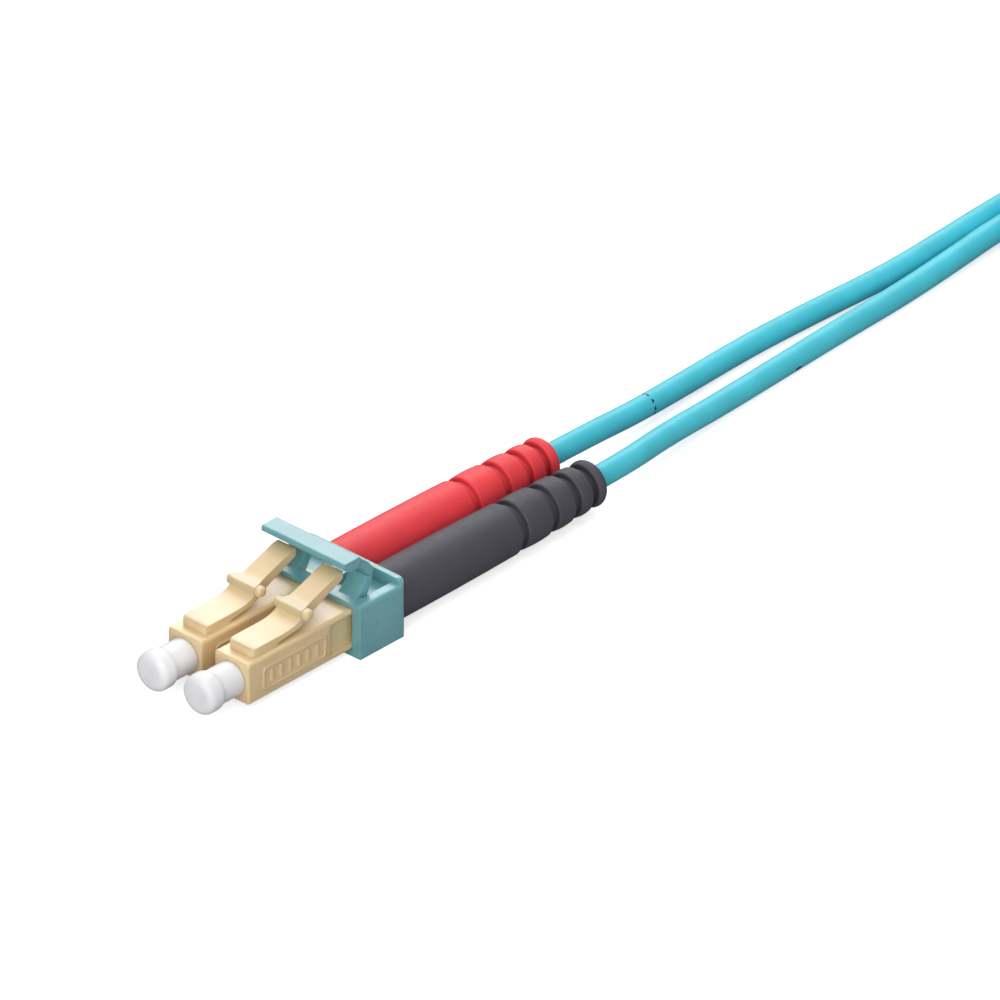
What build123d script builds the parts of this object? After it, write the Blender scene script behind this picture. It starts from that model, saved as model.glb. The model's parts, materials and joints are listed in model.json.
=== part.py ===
"""Duplex fibre optic patch cord: two LC style plugs in a clip at each end, joined by two round cords.

Row frame, millimetres: X runs from the near plug noses (-X) towards the cords (+X), Z is up with the
latches on top, and -Y is the side of cord B.  The origin is at the bottom centre of the near plug pair.
A plug is drawn about its own axis: x back from the nose face, y across, z up from the axis.
"""
import os
from math import cos, pi, radians, sin, sqrt, tan

from build123d import *

os.makedirs("parts", exist_ok=True)

# ---- driving dimensions ---------------------------------------------------------------------------
PITCH = 6.25              # between the two plug axes of a duplex pair
PLUG = 4.52               # square section of the plug housing
FERRULE_D = 1.249         # ceramic ferrule
FERRULE_TIP = -1.8        # ferrule tip, ahead of the nose face
CAP_FRONT = -4.95         # front of the dust cap
HOUSING_BACK = 17.0
CLIP_FRONT = 14.35
CLIP_BACK = 20.75
CLIP_HALF = 6.55          # half of the clip's width
BOOT_BACK = 50.5
JACKET_D = 2.4            # cord outer diameter
JACKET_BACK = 50.0        # inside the boot's mouth, where the free cord takes over
AXIS_Z = 2.96             # plug axis above the surface the clip rests on
FIT = 0.05                # gap between pieces that are assembled and stay put
RUN = 0.07                # gap on the radius between pieces that slide or turn
FERRULE_TRAVEL = 1.0

NOSE_X = -(BOOT_BACK + CAP_FRONT) / 2
HALF = PLUG / 2
ENDS = ("near", "far")
SIDES = {"a": 1, "b": -1}

# ---- latch, trigger and clip, about the plug axis -----------------------------------------------------
LATCH_PIVOT = (4.9, 2.75)
LATCH_PIVOT_R = 0.40
LATCH_W = 3.2
TRIGGER_PIVOT = (17.25, 5.30)
TRIGGER_PIVOT_R = 0.50
CLIP_WALL_TOP = 2.90
CLIP_REAR_TOP = 3.45
CLIP_FLOOR = -AXIS_Z

# ---- hank of stored cord, lying flat beyond the near plugs ------------------------------------------------
HANK_RUN = 48.0           # straight part of each turn
HANK_INNER_R = 7.35       # bend of cord B, and cord A lies one diameter outside it
HANK_TURNS = 5
HANK_START_X = 102.8      # where the straight runs begin
HANK_Y = -4.65
TIE_T = 0.5               # thickness of the hook and loop tie under and round the hank
TIE_W = 14.0
HANK_BASE = TIE_T + FIT
HANK_LAYERS = HANK_TURNS + 1
HANK_END_X = HANK_START_X + HANK_RUN
HANK_TOP = HANK_BASE + HANK_LAYERS * JACKET_D
HANK_OUTER_R = HANK_INNER_R + 1.5 * JACKET_D
RUN_A_Y = HANK_Y + HANK_INNER_R + JACKET_D
RUN_B_Y = HANK_Y + HANK_INNER_R
FIRST_Z = HANK_BASE + JACKET_D / 2
LAST_Z = HANK_TOP - JACKET_D / 2
FAR_BOOT_X = 187.5        # mouth of the far boots
FAR_NOSE_X = FAR_BOOT_X + BOOT_BACK

# ---- cord routes, row frame -------------------------------------------------------------------------------
CORD_X = NOSE_X + JACKET_BACK
FAR_CORD_X = FAR_NOSE_X - JACKET_BACK
FLOOR_Z = JACKET_D / 2
LEAD_A = [
    (CORD_X, 3.125, AXIS_Z),
    (33.2, 3.125, AXIS_Z),
    (41.2, 3.80, 2.05),
    (50.2, 4.95, 1.28),
    (59.4, 5.42, FLOOR_Z),
    (68.6, 5.17, FLOOR_Z),
    (78.6, 4.62, FLOOR_Z),
    (88.4, 4.98, 1.40),
    (94.6, 5.12, 1.66),
    (99.0, RUN_A_Y, FIRST_Z),
]
LEAD_B = [
    (CORD_X, -3.125, AXIS_Z),
    (32.4, -3.125, AXIS_Z),
    (40.0, -1.35, 2.05),
    (48.6, -0.35, 1.32),
    (57.6, 0.30, FLOOR_Z),
    (67.2, 0.86, FLOOR_Z),
    (76.8, 1.22, FLOOR_Z),
    (85.6, 1.95, 1.35),
    (91.6, 2.42, 1.62),
    (96.0, RUN_B_Y, FIRST_Z),
]
TAIL_A = [
    (154.6, RUN_A_Y, LAST_Z),
    (159.0, 5.02, 13.50),
    (164.6, 4.55, 10.90),
    (170.4, 3.75, 6.75),
    (176.4, 3.20, 3.75),
    (182.1, 3.125, AXIS_Z),
    (FAR_CORD_X, 3.125, AXIS_Z),
]
TAIL_B = [
    (156.0, RUN_B_Y, LAST_Z),
    (160.6, 2.30, 13.15),
    (166.0, 0.75, 10.35),
    (171.4, -1.35, 6.45),
    (176.9, -2.75, 3.70),
    (182.4, -3.125, AXIS_Z),
    (FAR_CORD_X, -3.125, AXIS_Z),
]


# ---- drawing helpers ----------------------------------------------------------------------------------
def block(x0, x1, y0, y1, z0, z1):
    """A box between two corners."""
    size = (abs(x1 - x0), abs(y1 - y0), abs(z1 - z0))
    return Pos((x0 + x1) / 2, (y0 + y1) / 2, (z0 + z1) / 2) * Box(*size)


def rod(x0, x1, radius):
    """A round bar along the plug axis."""
    return Pos((x0 + x1) / 2, 0, 0) * Rot(0, 90, 0) * Cylinder(radius, x1 - x0)


def pin(x, z, radius, width, y=0):
    """A round bar across the plug."""
    return Pos(x, y, z) * Rot(90, 0, 0) * Cylinder(radius, width)


def side_face(points):
    """A flat face in the XZ plane."""
    return make_face(Plane.XZ * Polyline(*points, close=True))


def turned_curves(curves):
    """Lines and arcs (x, radius) that meet end to end, turned about the plug axis."""
    edges = [edge for curve in curves for edge in (Plane.XZ * curve).edges()]
    return revolve(make_face(edges), Axis.X)


def slab(points, width, y=0):
    """A side outline given an even thickness across Y."""
    return Pos(0, y, 0) * extrude(side_face(points), amount=width / 2, both=True)


def turned(points):
    """A half outline (x, radius) turned about the plug axis."""
    return revolve(side_face(points), Axis.X)


def edges_along(shape, axis):
    """The straight edges that run along an axis."""
    return shape.edges().filter_by(axis).filter_by(GeomType.LINE)


# ---- one plug ----------------------------------------------------------------------------------------------
NOSE_BORE_R = 1.52
NOSE_BORE_DEPTH = 2.2
WEB_BACK = 2.7
REAR_BORE_R = 1.65
FLANGE_BACK = 4.75
TUBE_R = 0.95
TUBE_BACK = 12.6
BODY_FRONT = 9.7
COLLAR_BACK = 17.9
COLLAR_TOP = 1.75
NECK_BACK = 19.95
SPIGOT_BACK = 24.2
RING_BACK = 27.5
RING_STEP = 24.45
FIBRE_R = 0.45


def dust_cap():
    """Soft cap: a plug in the nose, a neck and a round knob, hollow over the ferrule."""
    neck_r, knob_r, front_round = 1.82, 2.08, 0.75
    cavity_r = FERRULE_D / 2 + RUN
    outline = [
        Line((1.9, cavity_r), (1.9, 1.30)),
        Line((1.9, 1.30), (1.75, NOSE_BORE_R - RUN)),
        Line((1.75, NOSE_BORE_R - RUN), (-FIT, NOSE_BORE_R - RUN)),
        Line((-FIT, NOSE_BORE_R - RUN), (-FIT, neck_r)),
        Line((-FIT, neck_r), (-2.5, neck_r)),
        ThreePointArc((-2.5, neck_r), (-2.736, neck_r + 0.034), (-2.95, 1.95)),
        ThreePointArc((-2.95, 1.95), (-3.164, knob_r - 0.034), (-3.4, knob_r)),
        Line((-3.4, knob_r), (CAP_FRONT + front_round, knob_r)),
        ThreePointArc(
            (CAP_FRONT + front_round, knob_r),
            (CAP_FRONT + 0.22, knob_r - 0.22),
            (CAP_FRONT, knob_r - front_round),
        ),
        Line((CAP_FRONT, knob_r - front_round), (CAP_FRONT, 0)),
        Line((CAP_FRONT, 0), (-2.9, 0)),
        Line((-2.9, 0), (-2.9, cavity_r)),
        Line((-2.9, cavity_r), (1.9, cavity_r)),
    ]
    return turned_curves(outline)


def ferrule():
    """Ceramic rod with a chamfered tip."""
    body = rod(FERRULE_TIP, 4.7, FERRULE_D / 2)
    return chamfer(body.edges().group_by(Axis.X)[0], 0.18)


def ferrule_holder():
    """Metal carrier: a six sided flange that holds the ferrule, and a tube that guides the spring."""
    hexagon = Plane.YZ * RegularPolygon(1.5, 6)
    flange = Pos(WEB_BACK + FIT, 0, 0) * extrude(hexagon, amount=FLANGE_BACK - WEB_BACK - FIT)
    tube = rod(FLANGE_BACK, TUBE_BACK, TUBE_R)
    return flange + tube - rod(WEB_BACK, 4.72, FERRULE_D / 2 + 0.01) - rod(4.7, TUBE_BACK, 0.55)


def spring():
    """Coil spring between the carrier's flange and the rear body."""
    wire_r, mean_r, turns = 0.15, 1.27, 5
    height = BODY_FRONT - FLANGE_BACK - 2 * wire_r - 2 * FIT
    path = Helix(pitch=height / turns, height=height, radius=mean_r)
    section = Plane(origin=path @ 0, z_dir=path % 0) * Circle(wire_r)
    coil = sweep(section, path=path)
    return Pos(FLANGE_BACK + wire_r + FIT, 0, 0) * Rot(0, 90, 0) * coil


def housing():
    """Square plug housing with its nose bore, the latch block on top and moulded side panels."""
    shell = block(0, HOUSING_BACK, -HALF, HALF, -HALF, HALF)
    shell = fillet(edges_along(shell, Axis.X), 0.32)
    shell = fillet(shell.faces().sort_by(Axis.X)[0].edges(), 0.18)
    latch_block = block(1.3, LATCH_PIVOT[0], -LATCH_W / 2, LATCH_W / 2, HALF - 0.3, 3.15)
    latch_block = fillet(edges_along(latch_block, Axis.Z).group_by(Axis.X)[0], 0.5)
    top_front = latch_block.faces().sort_by(Axis.Z)[-1].edges().sort_by(Axis.X)[0]
    latch_block = fillet(top_front, 0.3)
    shell += latch_block
    for side in (-1, 1):
        shell -= block(11.4, 18, side * HALF, side * (HALF - 0.42), -1.65, 1.72)
        shell += side_panel(side)
    shell -= pin(*LATCH_PIVOT, LATCH_PIVOT_R + 0.04, LATCH_W + 0.1)
    shell -= rod(-1, NOSE_BORE_DEPTH, NOSE_BORE_R)
    shell -= rod(0, WEB_BACK, 0.95)
    return shell - rod(WEB_BACK, HOUSING_BACK + 1, REAR_BORE_R)


def side_panel(side):
    """A raised rounded frame with plain upright ribs inside it."""
    centre_x, centre_z, length, height = 6.4, -0.15, 8.8, 2.5
    line, proud, sunk = 0.26, 0.13, 0.2
    frame = RectangleRounded(length, height, 0.4)
    frame -= RectangleRounded(length - 2 * line, height - 2 * line, 0.2)
    rib_count, rib_pitch = 6, 1.25
    for index in range(rib_count):
        frame += Pos((index - (rib_count - 1) / 2) * rib_pitch, 0) * RectangleRounded(0.42, 1.35, 0.15)
    raised = extrude(frame, amount=proud + sunk)
    return Pos(centre_x, side * (HALF - sunk), centre_z) * Rot(90 if side < 0 else -90, 0, 0) * raised


def latch():
    """Latch lever: a round root, a thin lever, a crossbar with two ears and a raised tab."""
    px, pz = LATCH_PIVOT
    root = pin(px, pz, LATCH_PIVOT_R, LATCH_W)
    lever = [(px, pz + 0.4), (6.4, 3.19), (7.1, 3.32), (7.6, 3.5), (8.0, 3.8), (9.0, 3.9)]
    lever += [(9.0, 3.1), (7.6, 2.78), (px, 2.35)]
    tab = [(8.1, 3.2), (8.1, 4.6), (9.3, 4.6), (13.6, 6.1), (14.4, 6.2)]
    tab += [(14.4, 5.35), (13.4, 5.0), (9.3, 3.3)]
    crossbar = block(8.0, 9.3, -2.3, 2.3, 3.55, 4.6)
    crossbar = fillet(edges_along(crossbar, Axis.Z) + edges_along(crossbar, Axis.X), 0.4)
    blade = slab(tab, 2.4)
    blade = fillet(edges_along(blade, Axis.Y).group_by(Axis.X)[-1], 0.3)
    return root + slab(lever, LATCH_W) + crossbar + blade


def rear_body():
    """Tubular back of the plug, with the square collar that the clip holds and the crimp spigot."""
    body = rod(BODY_FRONT, HOUSING_BACK + FIT, REAR_BORE_R - FIT)
    collar = block(HOUSING_BACK + FIT, COLLAR_BACK, -2.15, 2.15, -2.15, COLLAR_TOP)
    body += fillet(edges_along(collar, Axis.X), 0.3)
    body += rod(COLLAR_BACK, NECK_BACK, COLLAR_TOP)
    body += rod(NECK_BACK, SPIGOT_BACK, 1.3)
    return body - rod(BODY_FRONT - 1, 14.0, TUBE_R + RUN) - rod(13.9, SPIGOT_BACK + 1, 0.75)


def aramid_yarn():
    """The cord's strength yarn, folded back over the spigot under the crimp ring."""
    return rod(NECK_BACK + FIT, SPIGOT_BACK, 1.49) - rod(NECK_BACK, SPIGOT_BACK + 1, 1.33)


def crimp_ring():
    """Metal ring crimped on the yarn, with a smaller rear part on the jacket."""
    front, grip_r = NECK_BACK + FIT, JACKET_D / 2 + 0.03
    outline = [(front, 1.53), (front, 1.85), (RING_STEP, 1.85), (RING_STEP + 0.3, 1.6), (RING_BACK, 1.6)]
    outline += [(RING_BACK, grip_r), (RING_STEP, grip_r), (RING_STEP, 1.53)]
    return turned(outline)


def buffered_fibre():
    """Tight buffered fibre from behind the ferrule to the jacket."""
    return rod(4.7 + FERRULE_TRAVEL + 0.3, 24.5, FIBRE_R)


def jacket_end():
    """The part of the cord's jacket that the crimp ring and the boot cover."""
    return rod(24.6, JACKET_BACK, JACKET_D / 2)


def boot():
    """Bend relief: a smooth sleeve that ends in four soft grooves and a round ring."""
    front = CLIP_BACK + FIT
    grooves = [(38.0, 39.1, 2.76, 2.26), (42.45, 43.55, 2.64, 2.12)]
    grooves += [(45.75, 46.8, 2.52, 1.98), (48.3, 49.3, 2.42, 1.84)]
    sleeve_r, mouth_r = 2.90, 2.38
    edges = [
        Line((front, 1.9), (front, sleeve_r - 0.15)),
        ThreePointArc((front, sleeve_r - 0.15), (front + 0.05, sleeve_r - 0.05), (front + 0.2, sleeve_r)),
    ]
    at = (front + 0.2, sleeve_r)
    for start, stop, lip_r, floor_r in grooves:
        lip = (start - 0.16, lip_r)
        middle = ((at[0] + lip[0]) / 2, (at[1] + lip[1]) / 2 + 0.06)
        edges.append(ThreePointArc(at, middle, lip))
        edges.append(ThreePointArc(lip, (start, lip_r - 0.07), (start + 0.06, lip_r - 0.22)))
        edges.append(Line((start + 0.06, lip_r - 0.22), (start + 0.1, floor_r)))
        edges.append(Line((start + 0.1, floor_r), (stop - 0.1, floor_r - 0.03)))
        edges.append(Line((stop - 0.1, floor_r - 0.03), (stop - 0.05, lip_r - 0.3)))
        at = (stop + 0.14, lip_r - 0.1)
        edges.append(ThreePointArc((stop - 0.05, lip_r - 0.3), (stop, lip_r - 0.15), at))
    ring_end = (BOOT_BACK, mouth_r - 0.45)
    edges.append(ThreePointArc(at, (BOOT_BACK - 0.2, mouth_r - 0.12), ring_end))
    edges.append(Line(ring_end, (BOOT_BACK, JACKET_D / 2 + FIT)))
    edges.append(Line((BOOT_BACK, JACKET_D / 2 + FIT), (RING_BACK + 0.3, JACKET_D / 2 + FIT)))
    edges.append(Line((RING_BACK + 0.3, JACKET_D / 2 + FIT), (RING_BACK + 0.3, 1.9)))
    edges.append(Line((RING_BACK + 0.3, 1.9), (front, 1.9)))
    return turned_curves(edges)


# ---- the duplex clip ---------------------------------------------------------------------------------------
ARM_Y = 3.95
ARM_W = 2.3
REAR_WALL_T = 0.6


def clip_body():
    """Clip round both plugs: walls, floor lips, rear wall with two holes and the fixed half of the arms."""
    pocket = HALF + FIT
    footprint = block(CLIP_FRONT, CLIP_BACK, -CLIP_HALF, CLIP_HALF, CLIP_FLOOR, CLIP_REAR_TOP)
    footprint = fillet(edges_along(footprint, Axis.Z).group_by(Axis.X)[-1], 0.5)
    shell = block(CLIP_FRONT, CLIP_BACK, -CLIP_HALF, CLIP_HALF, CLIP_FLOOR, CLIP_WALL_TOP)
    shell = fillet(edges_along(shell, Axis.X).group_by(Axis.Z)[-1], 0.4)
    rear = block(CLIP_BACK - REAR_WALL_T, CLIP_BACK, -CLIP_HALF, CLIP_HALF, 0, CLIP_REAR_TOP)
    rear = fillet(edges_along(rear, Axis.X).group_by(Axis.Z)[-1], 0.85)
    shell = (shell + rear) & footprint
    for side in SIDES.values():
        y = side * PITCH / 2
        shell -= block(CLIP_FRONT - 1, CLIP_BACK - REAR_WALL_T, y - pocket, y + pocket, -pocket, pocket)
        shell -= block(15.9, CLIP_BACK - REAR_WALL_T, y - 2.2, y + 2.2, 0, 4)
        shell -= block(CLIP_FRONT - 1, 18.8, y - 1.15, y + 1.15, CLIP_FLOOR - 1, 0)
        shell -= Pos(0, y, 0) * rod(CLIP_BACK - 1, CLIP_BACK + 1, 1.9)
        web_z = COLLAR_TOP + 0.15
        shell += block(HOUSING_BACK + FIT, CLIP_BACK - 0.3, y - 2.4, y + 2.4, web_z, web_z + 0.2)
        stop_rib = block(COLLAR_BACK + FIT, COLLAR_BACK + 0.7, y - pocket - 0.1, y + pocket + 0.1, -2.4, -0.4)
        shell += stop_rib - Pos(0, y, 0) * rod(17, 19, 1.8)
        shell += lower_arm(side * ARM_Y)
    shell += block(CLIP_FRONT + 1.6, CLIP_BACK - 0.3, -0.5, 0.5, 2.2, CLIP_WALL_TOP)
    return shell


def lower_arm(y):
    """The fixed half of a trigger arm, leaning back from the front web to the pivot."""
    px, pz = TRIGGER_PIVOT
    outline = [(14.8, 2.4), (15.3, 2.95), (15.9, 3.45), (16.45, 4.15), (px - 0.4, pz - 0.3)]
    outline += [(px + 0.4, pz - 0.25), (17.5, 4.1), (16.9, 2.9), (16.6, 2.4)]
    return slab(outline, ARM_W, y) - pin(px, pz, TRIGGER_PIVOT_R + 0.05, ARM_W + 1, y)


def clip_trigger():
    """Thumb bar across both latches on two curved arms that turn on the clip's arms."""
    px, pz = TRIGGER_PIVOT
    bar = [(13.2, 7.2), (13.2, 7.78), (15.4, 7.78), (15.75, 7.3), (15.3, 6.7), (14.3, 6.5), (13.6, 6.95)]
    thumb_bar = slab(bar, 11.0)
    thumb_bar = fillet(edges_along(thumb_bar, Axis.Y).group_by(Axis.Z)[-1], 0.22)
    arm = [(14.9, 6.6), (14.9, 7.3), (15.5, 7.3), (16.2, 6.95), (16.9, 6.45)]
    arm += [(px + 0.46, pz + 0.18), (px - 0.48, pz), (16.5, 5.75), (15.9, 6.2)]
    for side in SIDES.values():
        y = side * ARM_Y
        thumb_bar += slab(arm, ARM_W, y) + pin(px, pz, TRIGGER_PIVOT_R, ARM_W, y)
    return thumb_bar


# ---- free cords, hank and tie ------------------------------------------------------------------------------
def corner_radii(route):
    """The largest arc for each corner: 0.45 of the shorter run over the tangent of half the turn."""
    points = [Vector(*point) for point in route]
    radii = []
    for before, corner, after in zip(points, points[1:], points[2:]):
        into, out = corner - before, after - corner
        shorter = min(into.length, out.length)
        radii.append(0.45 * shorter / tan(radians(into.get_angle(out)) / 2))
    return radii


def cord(route):
    """A round cord along straight runs joined by tangent arcs."""
    path = FilletPolyline(*route, radius=corner_radii(route))
    section = Plane(origin=path @ 0, z_dir=path % 0) * Circle(JACKET_D / 2)
    tube = sweep(section, path=path)
    expected = pi * (JACKET_D / 2) ** 2 * path.length
    print(f"cord length {path.length:.2f}, volume ratio {tube.volume / expected:.4f}, "
          f"smallest radius {min(corner_radii(route)):.1f}")
    return tube


def racetrack(radius, height):
    """A flat slab with straight sides and round ends."""
    outline = SlotOverall(HANK_RUN + 2 * radius, 2 * radius)
    middle_x = (HANK_START_X + HANK_END_X) / 2
    return Pos(middle_x, HANK_Y, HANK_BASE) * extrude(outline, amount=height)


def hank():
    """The stored length of both cords, wound side by side in one column of turns."""
    height = HANK_LAYERS * JACKET_D
    return racetrack(HANK_OUTER_R, height) - racetrack(HANK_INNER_R - JACKET_D / 2, height)


def hank_tie():
    """Hook and loop strap round the middle of the hank, its free end pressed down on top."""
    inner_w, inner_h = 2 * (HANK_OUTER_R + FIT), HANK_TOP - HANK_BASE + 2 * FIT
    band = RectangleRounded(inner_w + 2 * TIE_T, inner_h + 2 * TIE_T, TIE_T)
    band -= Rectangle(inner_w, inner_h)
    middle_x = (HANK_START_X + HANK_END_X) / 2
    strap = extrude(Plane.YZ * band, amount=TIE_W / 2, both=True)
    strap = Pos(middle_x, HANK_Y, TIE_T + inner_h / 2) * strap
    top = 2 * TIE_T + inner_h
    flap = block(middle_x - TIE_W / 2, middle_x + TIE_W / 2, HANK_Y - 2, HANK_Y + 8.5, top, top + TIE_T)
    return strap + flap


# ---- the whole patch cord -----------------------------------------------------------------------------
PLUG_PIECES = {
    "dust_cap": dust_cap(),
    "ferrule": ferrule(),
    "ferrule_holder": ferrule_holder(),
    "spring": spring(),
    "housing": housing(),
    "latch": latch(),
    "rear_body": rear_body(),
    "aramid_yarn": aramid_yarn(),
    "crimp_ring": crimp_ring(),
    "buffered_fibre": buffered_fibre(),
    "jacket_end": jacket_end(),
    "boot": boot(),
}
CLIP_PIECES = {"clip_body": clip_body(), "clip_trigger": clip_trigger()}
END_PLACES = {
    "near": Pos(NOSE_X, 0, AXIS_Z),
    "far": Pos(FAR_NOSE_X, 0, AXIS_Z) * Rot(0, 0, 180),
}

nodes = {}
for end in ENDS:
    facing = 1 if end == "near" else -1
    for side, sign in SIDES.items():
        for name, shape in PLUG_PIECES.items():
            nodes[f"{end}_{name}_{side}"] = END_PLACES[end] * Pos(0, facing * sign * PITCH / 2, 0) * shape
    for name, shape in CLIP_PIECES.items():
        nodes[f"{end}_{name}"] = END_PLACES[end] * shape
nodes["cord_a_lead"] = cord(LEAD_A)
nodes["cord_b_lead"] = cord(LEAD_B)
nodes["cord_a_tail"] = cord(TAIL_A)
nodes["cord_b_tail"] = cord(TAIL_B)
nodes["hank"] = hank()
nodes["hank_tie"] = hank_tie()

for name, shape in nodes.items():
    export_step(shape, f"parts/{name}.step")
print(len(nodes), "nodes")
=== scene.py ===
"""Looks of the duplex fibre optic patch cord: cords, hank tie, materials, floor, light and camera."""
import json
import math

import bmesh
import bpy
from mathutils import Matrix, Vector


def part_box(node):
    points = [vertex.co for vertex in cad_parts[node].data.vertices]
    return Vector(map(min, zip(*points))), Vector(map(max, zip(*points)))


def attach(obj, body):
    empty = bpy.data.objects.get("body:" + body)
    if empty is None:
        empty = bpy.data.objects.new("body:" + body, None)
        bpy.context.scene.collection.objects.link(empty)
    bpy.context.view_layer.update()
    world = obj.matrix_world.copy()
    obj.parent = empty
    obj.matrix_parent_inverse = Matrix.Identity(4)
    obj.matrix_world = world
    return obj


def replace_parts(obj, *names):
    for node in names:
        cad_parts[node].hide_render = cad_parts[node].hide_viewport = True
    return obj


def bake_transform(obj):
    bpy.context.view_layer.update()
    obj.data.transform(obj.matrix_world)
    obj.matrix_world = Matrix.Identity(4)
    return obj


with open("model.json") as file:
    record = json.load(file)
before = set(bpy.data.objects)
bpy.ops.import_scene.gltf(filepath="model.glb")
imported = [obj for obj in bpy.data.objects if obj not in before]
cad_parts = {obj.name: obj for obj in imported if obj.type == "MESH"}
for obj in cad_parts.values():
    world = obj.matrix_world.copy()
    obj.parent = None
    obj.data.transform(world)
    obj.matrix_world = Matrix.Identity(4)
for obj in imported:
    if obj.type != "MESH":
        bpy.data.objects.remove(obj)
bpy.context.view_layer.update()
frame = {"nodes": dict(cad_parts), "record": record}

MM = 0.001

# ---- places taken from the frame -----------------------------------------------------------------
near_boot_low, near_boot_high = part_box("near_boot_a")
boot_mouth_x = near_boot_high.x
far_mouth_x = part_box("far_boot_a")[0].x
hank_low, hank_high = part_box("hank")

# ---- camera: a long lens, so that parallel edges stay parallel -----------------------------------
CAMERA_AZIMUTH = math.radians(-46.64)
CAMERA_ELEVATION = math.radians(31.0)
CAMERA_DISTANCE = 3.8
FRAME_WIDTH = 0.09683
CAMERA_AIM = Vector((0.01811, 0.0, 0.00374))


def add_camera():
    camera = bpy.data.objects.new("camera", bpy.data.cameras.new("camera"))
    bpy.context.scene.collection.objects.link(camera)
    flat = math.cos(CAMERA_ELEVATION)
    back = Vector((
        math.sin(CAMERA_AZIMUTH) * flat,
        -math.cos(CAMERA_AZIMUTH) * flat,
        math.sin(CAMERA_ELEVATION),
    ))
    camera.location = CAMERA_AIM + back * CAMERA_DISTANCE
    camera.rotation_euler = (-back).to_track_quat("-Z", "Y").to_euler()
    camera.data.lens = camera.data.sensor_width * CAMERA_DISTANCE / FRAME_WIDTH
    camera.data.clip_start = 0.1
    camera.data.clip_end = 20.0
    bpy.context.scene.camera = camera


add_camera()

# ---- cords: routes in millimetres, as in the CAD model -------------------------------------------
CORD_D = 2.4
PLUG_Y = 3.125
AXIS_Z = 2.96
FLOOR_Z = 1.2
HANK_RUN = 48.0
HANK_TURNS = 5
HANK_START_X = 102.8
HANK_END_X = HANK_START_X + HANK_RUN
HANK_Y = (hank_low.y + hank_high.y) / 2 / MM
HANK_B_R = (hank_high.y - hank_low.y) / 2 / MM - 1.5 * CORD_D
HANK_A_R = HANK_B_R + CORD_D
FIRST_Z = hank_low.z / MM + CORD_D / 2
LAST_Z = hank_high.z / MM - CORD_D / 2
CORD_X = boot_mouth_x / MM - 0.5
FAR_CORD_X = far_mouth_x / MM + 0.5

LEAD_A = [
    (CORD_X, PLUG_Y, AXIS_Z),
    (33.2, PLUG_Y, AXIS_Z),
    (41.2, 3.80, 2.05),
    (50.2, 4.95, 1.28),
    (59.4, 5.42, FLOOR_Z),
    (68.6, 5.17, FLOOR_Z),
    (78.6, 4.62, FLOOR_Z),
    (88.4, 4.98, 1.40),
    (94.6, 5.12, 1.66),
]
LEAD_B = [
    (CORD_X, -PLUG_Y, AXIS_Z),
    (32.4, -PLUG_Y, AXIS_Z),
    (40.0, -1.35, 2.05),
    (48.6, -0.35, 1.32),
    (57.6, 0.30, FLOOR_Z),
    (67.2, 0.86, FLOOR_Z),
    (76.8, 1.22, FLOOR_Z),
    (85.6, 1.95, 1.35),
    (91.6, 2.42, 1.62),
]
TAIL_A = [
    (159.0, 5.02, 13.50),
    (164.6, 4.55, 10.90),
    (170.4, 3.75, 6.75),
    (176.4, 3.20, 3.75),
    (182.1, PLUG_Y, AXIS_Z),
    (FAR_CORD_X, PLUG_Y, AXIS_Z),
]
TAIL_B = [
    (160.6, 2.30, 13.15),
    (166.0, 0.75, 10.35),
    (171.4, -1.35, 6.45),
    (176.9, -2.75, 3.70),
    (182.4, -PLUG_Y, AXIS_Z),
    (FAR_CORD_X, -PLUG_Y, AXIS_Z),
]


def hank_turns(radius):
    """Flat turns that climb by one layer on each return run, and end on the outward run on top."""
    arc_points = 8
    step = math.pi / arc_points
    vertex_r = radius / math.cos(step / 2)
    points = []
    for turn in range(HANK_TURNS + 1):
        z = FIRST_Z + turn * CORD_D
        for share in (0.05, 0.36, 0.68, 0.95):
            points.append((HANK_START_X + share * HANK_RUN, HANK_Y + radius, z))
        if turn == HANK_TURNS:
            break
        for index in range(arc_points):
            angle = math.pi / 2 - (index + 0.5) * step
            x = HANK_END_X + vertex_r * math.cos(angle)
            points.append((x, HANK_Y + vertex_r * math.sin(angle), z))
        for share, climb in ((0.93, 0.0), (0.66, 0.3), (0.34, 0.7), (0.07, 1.0)):
            points.append((HANK_START_X + share * HANK_RUN, HANK_Y - radius, z + climb * CORD_D))
        for index in range(arc_points):
            angle = -math.pi / 2 - (index + 0.5) * step
            x = HANK_START_X + vertex_r * math.cos(angle)
            points.append((x, HANK_Y + vertex_r * math.sin(angle), z + CORD_D))
    return points


def add_cord(name, route):
    """A round cord on one smooth spline along the route.

    Each point carries the tube's radius and the bevel is 1, so the curve's own box fits the tube."""
    curve = bpy.data.curves.new(name, "CURVE")
    curve.dimensions = "3D"
    curve.bevel_depth = 1.0
    curve.bevel_resolution = 6
    curve.resolution_u = 8
    spline = curve.splines.new("NURBS")
    spline.points.add(len(route) - 1)
    for point, place in zip(spline.points, route):
        point.co = (*[value * MM for value in place], 1.0)
        point.radius = CORD_D / 2 * MM
    spline.order_u = 3
    spline.use_endpoint_u = True
    piece = bpy.data.objects.new(name, curve)
    bpy.context.scene.collection.objects.link(piece)
    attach(piece, "root")
    return piece


cord_a = add_cord("cord_a", LEAD_A + hank_turns(HANK_A_R) + TAIL_A)
cord_b = add_cord("cord_b", LEAD_B + hank_turns(HANK_B_R) + TAIL_B)
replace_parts(cord_a, "cord_a_lead", "cord_a_tail", "hank")
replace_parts(cord_b, "cord_b_lead", "cord_b_tail", "hank")


# ---- hank tie ------------------------------------------------------------------------------------
TIE_T = 0.45
TIE_W = 14.0
TIE_CORNER = 2.2
TIE_OVERLAP = 17.0
TIE_STEP = 0.8


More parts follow.
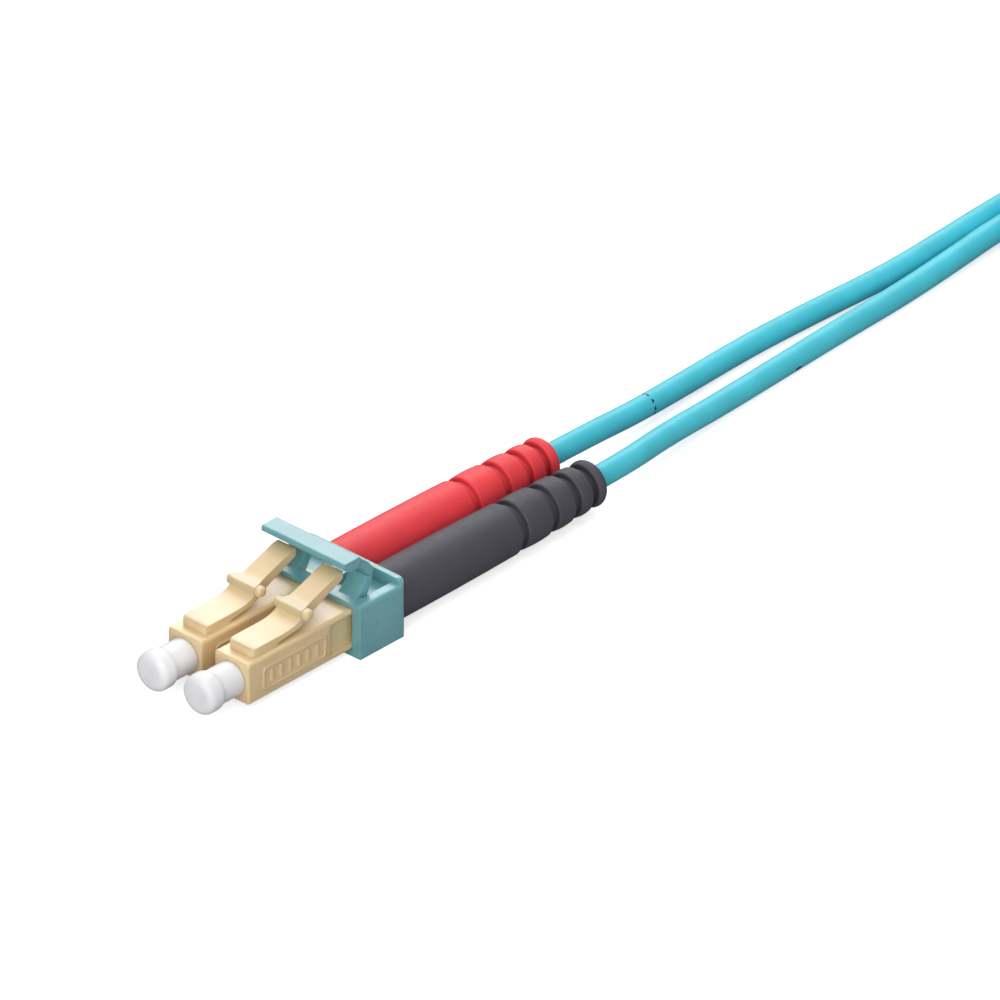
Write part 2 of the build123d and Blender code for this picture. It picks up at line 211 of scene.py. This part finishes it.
def rounded_loop(half_w, half_h, corner, start_share):
    """Points round a rounded rectangle, with the distance walked, from a place on its top side."""
    points = []
    top_start = start_share * half_w
    points.append((top_start, half_h))
    corners = [(-1, 1, 90), (-1, -1, 180), (1, -1, 270), (1, 1, 0)]
    for sy, sz, first in corners:
        for index in range(7):
            angle = math.radians(first + 15 * index)
            y = sy * (half_w - corner) + corner * math.cos(angle)
            z = sz * (half_h - corner) + corner * math.sin(angle)
            points.append((y, z))
    points.append((top_start, half_h))
    return points


def resample(points, spacing):
    """Even steps along a polyline."""
    out = [points[0]]
    left = spacing
    for start, stop in zip(points, points[1:]):
        length = math.dist(start, stop)
        at = left
        while at < length:
            share = at / length
            out.append(tuple(a + (b - a) * share for a, b in zip(start, stop)))
            at += spacing
        left = at - length
    return out


def add_tie():
    """A hook and loop strap, wrapped once round the hank with its rounded end pressed down on top."""
    low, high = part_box("hank")
    middle = (low + high) / 2 / MM
    half_w = (high.y - low.y) / 2 / MM + TIE_T / 2 + 0.08
    half_h = (high.z - low.z) / 2 / MM + TIE_T / 2 + 0.05
    loop = resample(rounded_loop(half_w, half_h, TIE_CORNER, 0.55), TIE_STEP)
    lap_steps = int(TIE_OVERLAP / TIE_STEP)
    path = [(y, z, 0.0) for y, z in loop]
    for index in range(lap_steps):
        y, z = loop[index + 1]
        lift = TIE_T + 0.04
        path.append((y, z + min(1.0, index / 3) * lift, index / lap_steps))
    columns = 11
    verts, faces = [], []
    for row, (y, z, lap) in enumerate(path):
        rounding = max(0.0, (lap - 0.72) / 0.28)
        half = TIE_W / 2 * (math.sqrt(max(0.02, 1 - rounding ** 2)) if rounding else 1.0)
        for column in range(columns):
            across = column / (columns - 1) * 2 - 1
            ripple = 0.05 * math.sin(0.9 * row + 2.0 * across)
            verts.append((
                (middle.x + across * half) * MM,
                (middle.y + y) * MM,
                (middle.z + z + ripple * (1 if z > 0 else 0)) * MM,
            ))
    for row in range(len(path) - 1):
        for column in range(columns - 1):
            a = row * columns + column
            faces.append((a, a + 1, a + columns + 1, a + columns))
    mesh = bpy.data.meshes.new("tie_strap")
    mesh.from_pydata(verts, [], faces)
    mesh.update()
    piece = bpy.data.objects.new("tie_strap", mesh)
    bpy.context.scene.collection.objects.link(piece)
    thick = piece.modifiers.new("thickness", "SOLIDIFY")
    thick.thickness = TIE_T * MM
    thick.offset = 0.0
    soften = piece.modifiers.new("soften", "SUBSURF")
    soften.levels = 1
    soften.render_levels = 1
    for polygon in mesh.polygons:
        polygon.use_smooth = True
    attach(piece, "root")
    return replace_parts(piece, "hank_tie")


tie = add_tie()


# ---- latches: block, thin lever, crossbar and tab in one moulding --------------------------------
# stations along the latch from the nose face: x, bottom, top, half width
LATCH_FRONT = [
    (1.26, 2.1, 2.86, 1.36),
    (1.36, 2.1, 3.04, 1.50),
    (1.60, 2.1, 3.15, 1.60),
    (2.0, 2.1, 3.18, 1.63),
]
LATCH_ROOT = [(u / 10, 2.1, 3.18, 1.63) for u in (26, 32, 36, 40, 43)]
LATCH_LEVER = [
    (4.6, 2.36, 3.18, 1.63),
    (4.9, 2.46, 3.18, 1.63),
    (5.2, 2.52, 3.18, 1.63),
    (5.5, 2.56, 3.185, 1.63),
    (5.8, 2.60, 3.20, 1.63),
    (6.2, 2.65, 3.22, 1.63),
    (6.6, 2.70, 3.27, 1.63),
    (7.0, 2.75, 3.35, 1.63),
    (7.4, 2.80, 3.47, 1.63),
    (7.7, 2.86, 3.61, 1.63),
    (7.95, 2.92, 3.80, 1.63),
]
LATCH_TAB = [
    (7.97, 2.95, 4.50, 1.63),
    (8.08, 2.98, 4.62, 1.63),
    (8.40, 3.05, 4.64, 1.60),
    (9.00, 3.20, 4.64, 1.45),
    (9.30, 3.30, 4.66, 1.30),
    (9.80, 3.50, 4.79, 1.24),
    (11.5, 4.22, 5.38, 1.22),
    (13.2, 4.92, 5.97, 1.22),
    (13.8, 5.14, 6.14, 1.22),
    (14.25, 5.30, 6.19, 1.19),
    (14.42, 5.50, 6.10, 1.08),
]
EAR_LOW = (8.02, -2.3, 3.55)
EAR_HIGH = (9.2, 2.3, 4.58)
EAR_ROUND = 0.36


def latch_mesh(name, place):
    """A loft through (x, bottom, top, half width) stations, with a rounded crossbar through it."""
    body = bmesh.new()
    rings = []
    for x, bottom, top, half in LATCH_FRONT + LATCH_ROOT + LATCH_LEVER + LATCH_TAB:
        corners = [(-half, bottom), (half, bottom), (half, top), (-half, top)]
        rings.append([body.verts.new((x, y, z)) for y, z in corners])
    for before, after in zip(rings, rings[1:]):
        for index in range(4):
            follow = (index + 1) % 4
            body.faces.new((before[index], before[follow], after[follow], after[index]))
    body.faces.new(rings[0])
    body.faces.new(rings[-1][::-1])
    bar = bmesh.new()
    bmesh.ops.create_cube(bar, size=1.0)
    size = [high - low for low, high in zip(EAR_LOW, EAR_HIGH)]
    centre = [(high + low) / 2 for low, high in zip(EAR_LOW, EAR_HIGH)]
    for vert in bar.verts:
        vert.co = [middle + full * value for middle, full, value in zip(centre, size, vert.co)]
    bmesh.ops.bevel(
        bar, geom=bar.edges[:], offset=EAR_ROUND, segments=4, profile=0.5, affect="EDGES",
    )
    rounded = bpy.data.meshes.new("crossbar")
    bar.to_mesh(rounded)
    body.from_mesh(rounded)
    bmesh.ops.recalc_face_normals(body, faces=body.faces[:])
    mesh = bpy.data.meshes.new(name)
    body.to_mesh(mesh)
    bar.free()
    body.free()
    bpy.data.meshes.remove(rounded)
    mesh.transform(Matrix.Scale(MM, 4))
    mesh.transform(place)
    for polygon in mesh.polygons:
        polygon.use_smooth = True
    mesh.set_sharp_from_angle(angle=math.radians(40))
    return mesh


def add_latch(end, side):
    """The visible latch of one plug, drawn from the nose face and the plug axis."""
    latch_low, latch_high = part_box(f"{end}_latch_{side}")
    housing_low, housing_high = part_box(f"{end}_housing_{side}")
    nose = housing_low.x if end == "near" else housing_high.x
    y = (latch_low.y + latch_high.y) / 2
    turn = Matrix.Rotation(0 if end == "near" else math.pi, 4, "Z")
    place = Matrix.Translation((nose, y, AXIS_Z * MM)) @ turn
    name = f"{end}_latch_moulding_{side}"
    piece = bpy.data.objects.new(name, latch_mesh(name, place))
    bpy.context.scene.collection.objects.link(piece)
    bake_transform(piece)
    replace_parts(piece, f"{end}_latch_{side}")
    return piece


latches = {(end, side): add_latch(end, side) for end in ("near", "far") for side in ("a", "b")}


# ---- springs -------------------------------------------------------------------------------------
def add_spring(end, side):
    """The visible spring of one plug, as its own copy of the part's mesh."""
    node = f"{end}_spring_{side}"
    piece = bpy.data.objects.new(f"{end}_coil_spring_{side}", frame["nodes"][node].data.copy())
    bpy.context.scene.collection.objects.link(piece)
    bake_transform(piece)
    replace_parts(piece, node)
    return piece


springs = {(end, side): add_spring(end, side) for end in ("near", "far") for side in ("a", "b")}


# ---- materials -----------------------------------------------------------------------------------
def new_material(name):
    """An empty node material with its shader, and the row frame's coordinates in metres."""
    material = bpy.data.materials.new(name)
    material.use_nodes = True
    tree = material.node_tree
    shader = tree.nodes["Principled BSDF"]
    place = tree.nodes.new("ShaderNodeTexCoord").outputs["Object"]
    return material, tree, shader, place


def noise(tree, place, size_mm, detail=3.0, roughness=0.5):
    """Noise with features of about this size."""
    node = tree.nodes.new("ShaderNodeTexNoise")
    node.inputs["Scale"].default_value = 1 / (size_mm * MM)
    node.inputs["Detail"].default_value = detail
    node.inputs["Roughness"].default_value = roughness
    tree.links.new(place, node.inputs["Vector"])
    return node.outputs["Fac"]


def ramp(tree, value, stops):
    """Maps a value to colours or greys."""
    node = tree.nodes.new("ShaderNodeValToRGB")
    elements = node.color_ramp.elements
    while len(elements) < len(stops):
        elements.new(0.5)
    for element, (at, colour) in zip(elements, stops):
        element.position = at
        element.color = (*colour, 1.0)
    tree.links.new(value, node.inputs["Fac"])
    return node.outputs["Color"]


def bump(tree, height, depth_mm, normal=None, strength=1.0):
    node = tree.nodes.new("ShaderNodeBump")
    node.inputs["Strength"].default_value = strength
    node.inputs["Distance"].default_value = depth_mm * MM
    tree.links.new(height, node.inputs["Height"])
    if normal is not None:
        tree.links.new(normal, node.inputs["Normal"])
    return node.outputs["Normal"]


def soft_edges(tree, radius_mm):
    """Rounds the look of moulded edges."""
    node = tree.nodes.new("ShaderNodeBevel")
    node.samples = 4
    node.inputs["Radius"].default_value = radius_mm * MM
    return node.outputs["Normal"]


def mix(tree, first, second, share=None, how="MIX"):
    """Mixes a linked colour with a second one, linked or plain, by a linked share or fully."""
    node = tree.nodes.new("ShaderNodeMix")
    node.data_type = "RGBA"
    node.blend_type = how
    sockets = {socket.identifier: socket for socket in [*node.inputs, *node.outputs]}
    tree.links.new(first, sockets["A_Color"])
    if isinstance(second, tuple):
        sockets["B_Color"].default_value = (*second, 1.0)
    else:
        tree.links.new(second, sockets["B_Color"])
    if share is None:
        sockets["Factor_Float"].default_value = 1.0
    else:
        tree.links.new(share, sockets["Factor_Float"])
    return sockets["Result_Color"]


def paint_groove_shade(tree, colour, reach_mm, depth):
    """Paints shade into a colour: darker in each groove and inner corner of the piece itself, where
    less light reaches.
    """
    node = tree.nodes.new("ShaderNodeAmbientOcclusion")
    node.samples = 8
    node.only_local = True
    node.inputs["Distance"].default_value = reach_mm * MM
    shadow = ramp(tree, node.outputs["AO"], [(0.35, (1 - depth,) * 3), (0.85, (1.0,) * 3)])
    return mix(tree, colour, shadow, how="MULTIPLY")


def shade(colour, factor):
    return tuple(channel * factor for channel in colour)


def moulded(name, colour, rough, scatter=0.0, scatter_mm=(0.6, 0.4, 0.2), edge=0.12, grain=0.004,
            coat=0.0, variation=0.06, specular=0.5, groove_shade_depth=0.0):
    """Injection moulded plastic: faint flow marks in the colour, fine mould grain, soft edges."""
    material, tree, shader, place = new_material(name)
    flow = noise(tree, place, 3.5, 2.0)
    dark, light = shade(colour, 1 - variation), shade(colour, 1 + variation / 2)
    tint = ramp(tree, flow, [(0.35, dark), (0.65, light)])
    # painted shade: if asked, the colour is darkened in each groove and inner corner
    if groove_shade_depth:
        tint = paint_groove_shade(tree, tint, 1.0, groove_shade_depth)
    tree.links.new(tint, shader.inputs["Base Color"])
    patches = noise(tree, place, 0.8, 4.0, 0.6)
    gloss = ramp(tree, patches, [(0.3, (rough - 0.05,) * 3), (0.7, (rough + 0.06,) * 3)])
    tree.links.new(gloss, shader.inputs["Roughness"])
    fine = noise(tree, place, 0.12, 2.0)
    normal = bump(tree, fine, grain, soft_edges(tree, edge) if edge else None)
    tree.links.new(normal, shader.inputs["Normal"])
    shader.inputs["Subsurface Weight"].default_value = scatter
    shader.inputs["Subsurface Radius"].default_value = scatter_mm
    shader.inputs["Subsurface Scale"].default_value = MM
    shader.inputs["Coat Weight"].default_value = coat
    shader.inputs["Coat Roughness"].default_value = 0.3
    shader.inputs["Specular IOR Level"].default_value = specular
    return material


def metal(name, colour, rough, brush_mm=0.05):
    """Turned or drawn metal with fine lines round it."""
    material, tree, shader, place = new_material(name)
    shader.inputs["Metallic"].default_value = 1.0
    lines = noise(tree, place, brush_mm, 3.0)
    tint = ramp(tree, lines, [(0.3, shade(colour, 0.85)), (0.7, colour)])
    tree.links.new(tint, shader.inputs["Base Color"])
    gloss = ramp(tree, lines, [(0.3, (rough,) * 3), (0.7, (rough + 0.12,) * 3)])
    tree.links.new(gloss, shader.inputs["Roughness"])
    tree.links.new(bump(tree, lines, 0.003), shader.inputs["Normal"])
    return material


def fabric(name, colour, light, thread_mm, rough=0.9, depth=0.08):
    """Fibrous cloth: short loops as cells, in two close shades."""
    material, tree, shader, place = new_material(name)
    cells = tree.nodes.new("ShaderNodeTexVoronoi")
    cells.inputs["Scale"].default_value = 1 / (thread_mm * MM)
    tree.links.new(place, cells.inputs["Vector"])
    tint = ramp(tree, cells.outputs["Distance"], [(0.1, light), (0.7, colour)])
    tree.links.new(tint, shader.inputs["Base Color"])
    shader.inputs["Roughness"].default_value = rough
    shader.inputs["Sheen Weight"].default_value = 0.3
    tree.links.new(bump(tree, cells.outputs["Distance"], depth), shader.inputs["Normal"])
    return material


def window(tree, value, low, high):
    """One between two bounds, in metres, and zero outside them."""
    above = tree.nodes.new("ShaderNodeMath")
    above.operation = "GREATER_THAN"
    above.inputs[1].default_value = low
    below = tree.nodes.new("ShaderNodeMath")
    below.operation = "LESS_THAN"
    below.inputs[1].default_value = high
    both = tree.nodes.new("ShaderNodeMath")
    both.operation = "MULTIPLY"
    tree.links.new(value, above.inputs[0])
    tree.links.new(value, below.inputs[0])
    tree.links.new(above.outputs[0], both.inputs[0])
    tree.links.new(below.outputs[0], both.inputs[1])
    return both.outputs[0]


def product(tree, first, second):
    node = tree.nodes.new("ShaderNodeMath")
    node.operation = "MULTIPLY"
    tree.links.new(first, node.inputs[0])
    tree.links.new(second, node.inputs[1])
    return node.outputs[0]


def add_print(material, bounds_mm, dots_mm=None):
    """Dark ink inside a box on the jacket, broken into dots if asked: a plain mark with no letters."""
    tree = material.node_tree
    shader = tree.nodes["Principled BSDF"]
    place = tree.nodes.new("ShaderNodeTexCoord").outputs["Object"]
    split = tree.nodes.new("ShaderNodeSeparateXYZ")
    tree.links.new(place, split.inputs[0])
    mask = None
    for axis, (low, high) in enumerate(bounds_mm):
        band = window(tree, split.outputs[axis], low * MM, high * MM)
        mask = band if mask is None else product(tree, mask, band)
    if dots_mm:
        wave = tree.nodes.new("ShaderNodeMath")
        wave.operation = "PINGPONG"
        wave.inputs[1].default_value = dots_mm / 2 * MM
        height = tree.nodes.new("ShaderNodeMath")
        height.operation = "ADD"
        tree.links.new(split.outputs[2], height.inputs[0])
        back = tree.nodes.new("ShaderNodeMath")
        back.operation = "MULTIPLY"
        back.inputs[1].default_value = -1.0
        tree.links.new(split.outputs[1], back.inputs[0])
        tree.links.new(back.outputs[0], height.inputs[1])
        tree.links.new(height.outputs[0], wave.inputs[0])
        mask = product(tree, mask, window(tree, wave.outputs[0], dots_mm * 0.16 * MM, MM))
    jacket = shader.inputs["Base Color"].links[0].from_socket
    inked = mix(tree, jacket, (0.01, 0.05, 0.12), mask)
    tree.links.new(inked, shader.inputs["Base Color"])


MATERIALS = {
    "cap_white": moulded("cap_white", (0.90, 0.90, 0.93), 0.34, 0.6, (1.2, 1.2, 1.3), 0.15, 0.003),
    "ceramic": moulded("ceramic", (0.90, 0.90, 0.88), 0.12, 0.1, edge=0.0, grain=0.0005),
    "plated_brass": metal("plated_brass", (0.78, 0.74, 0.62), 0.28),
    "spring_steel": metal("spring_steel", (0.62, 0.63, 0.66), 0.22),
    "plug_beige": moulded(
        "plug_beige", (0.83, 0.625, 0.345), 0.36, 0.35, (0.9, 0.6, 0.25), 0.16, coat=1.0,
    ),
    "inner_plastic": moulded("inner_plastic", (0.70, 0.56, 0.34), 0.5, 0.2),
    "aramid": fabric("aramid", (0.72, 0.52, 0.12), (0.92, 0.74, 0.25), 0.12),
    "crimp_metal": metal("crimp_metal", (0.72, 0.73, 0.75), 0.3),
    "fibre_buffer": moulded("fibre_buffer", (0.16, 0.60, 0.66), 0.3, edge=0.0),
    "cord_jacket": moulded(
        "cord_jacket", (0.09, 0.65, 0.78), 0.42, 0.12, (0.2, 0.5, 0.6), 0.0, 0.006, specular=0.35,
    ),
    # the two boots carry painted shade in each groove
    "boot_red": moulded(
        "boot_red", (0.92, 0.052, 0.066), 0.55, 0.05, (0.8, 0.2, 0.15), 0.12, 0.006, groove_shade_depth=0.65,
    ),
    "boot_charcoal": moulded(
        "boot_charcoal", (0.072, 0.069, 0.090), 0.60, 0.0, edge=0.12, grain=0.006, groove_shade_depth=0.75,
    ),
    "clip_aqua": moulded(
        "clip_aqua", (0.16, 0.42, 0.46), 0.32, 0.35, (0.3, 0.7, 0.7), 0.26, coat=0.8,
    ),
    "tie_fabric": fabric("tie_fabric", (0.012, 0.012, 0.014), (0.05, 0.05, 0.055), 0.35),
}

# a dotted ring across cord A, and a short dash low on cord B
add_print(MATERIALS["cord_jacket"], [(43.05, 43.35), (2.6, 6.4), (1.0, 3.5)], 0.62)
add_print(MATERIALS["cord_jacket"], [(59.4, 60.2), (-1.2, 0.2), (0.5, 0.95)])


def paint(piece, slot):
    piece.data.materials.clear()
    piece.data.materials.append(MATERIALS[slot])


for subpart in frame["record"]["subparts"]:
    paint(frame["nodes"][subpart["node"]], subpart["material_slot"])
paint(cord_a, "cord_jacket")
paint(cord_b, "cord_jacket")
paint(tie, "tie_fabric")
for latch in latches.values():
    paint(latch, "plug_beige")
for coil in springs.values():
    paint(coil, "spring_steel")


# ---- floor and light -----------------------------------------------------------------------------
def add_floor():
    """A plain pale floor that sends little light back up."""
    mesh = bpy.data.meshes.new("floor")
    half = 3.0
    corners = [(-half, -half, 0), (half, -half, 0), (half, half, 0), (-half, half, 0)]
    mesh.from_pydata(corners, [], [(0, 1, 2, 3)])
    floor = bpy.data.objects.new("floor", mesh)
    bpy.context.scene.collection.objects.link(floor)
    material = bpy.data.materials.new("floor")
    material.use_nodes = True
    tree = material.node_tree
    shader = tree.nodes["Principled BSDF"]
    shader.inputs["Roughness"].default_value = 0.9
    shader.inputs["Specular IOR Level"].default_value = 0.1
    seen = tree.nodes.new("ShaderNodeLightPath").outputs["Is Camera Ray"]
    tint = ramp(tree, seen, [(0.0, (0.36, 0.36, 0.37)), (1.0, (0.95, 0.95, 0.95))])
    tree.links.new(tint, shader.inputs["Base Color"])
    glow = ramp(tree, seen, [(0.0, (0.0, 0.0, 0.0)), (1.0, (0.62, 0.62, 0.62))])
    tree.links.new(glow, shader.inputs["Emission Color"])
    shader.inputs["Emission Strength"].default_value = 1.0
    mesh.materials.append(material)


def add_softbox(name, place, aim, size, radiance):
    """A square soft light that faces a point."""
    light = bpy.data.lights.new(name, "AREA")
    light.shape = "SQUARE"
    light.size = size
    light.energy = radiance * math.pi * size * size
    lamp = bpy.data.objects.new(name, light)
    lamp.location = place
    lamp.rotation_euler = (Vector(aim) - Vector(place)).to_track_quat("-Z", "Y").to_euler()
    bpy.context.scene.collection.objects.link(lamp)


def add_light():
    """Softboxes above and behind, whose reflection whitens the tops, and a fill from the front."""
    add_softbox("overhead", (0.06, 0.02, 0.62), (0.03, 0.0, 0.0), 0.60, 1.30)
    add_softbox("behind", (0.48, 0.45, 0.44), (0.03, 0.0, 0.0), 0.60, 3.0)
    add_softbox("front_left", (-0.45, -0.26, 0.24), (0.0, 0.0, 0.0), 0.5, 2.75)
    add_softbox("front_fill", (-0.25, -0.75, 0.30), (0.02, 0.0, 0.0), 0.5, 0.6)
    world = bpy.data.worlds.new("studio")
    world.use_nodes = True
    sky = world.node_tree.nodes["Background"]
    sky.inputs["Color"].default_value = (1.0, 1.0, 1.0, 1.0)
    sky.inputs["Strength"].default_value = 0.24
    bpy.context.scene.world = world


add_floor()
add_light()
bpy.context.scene.view_settings.view_transform = "Standard"

# ---- finish --------------------------------------------------------------------------------------
bpy.context.view_layer.update()
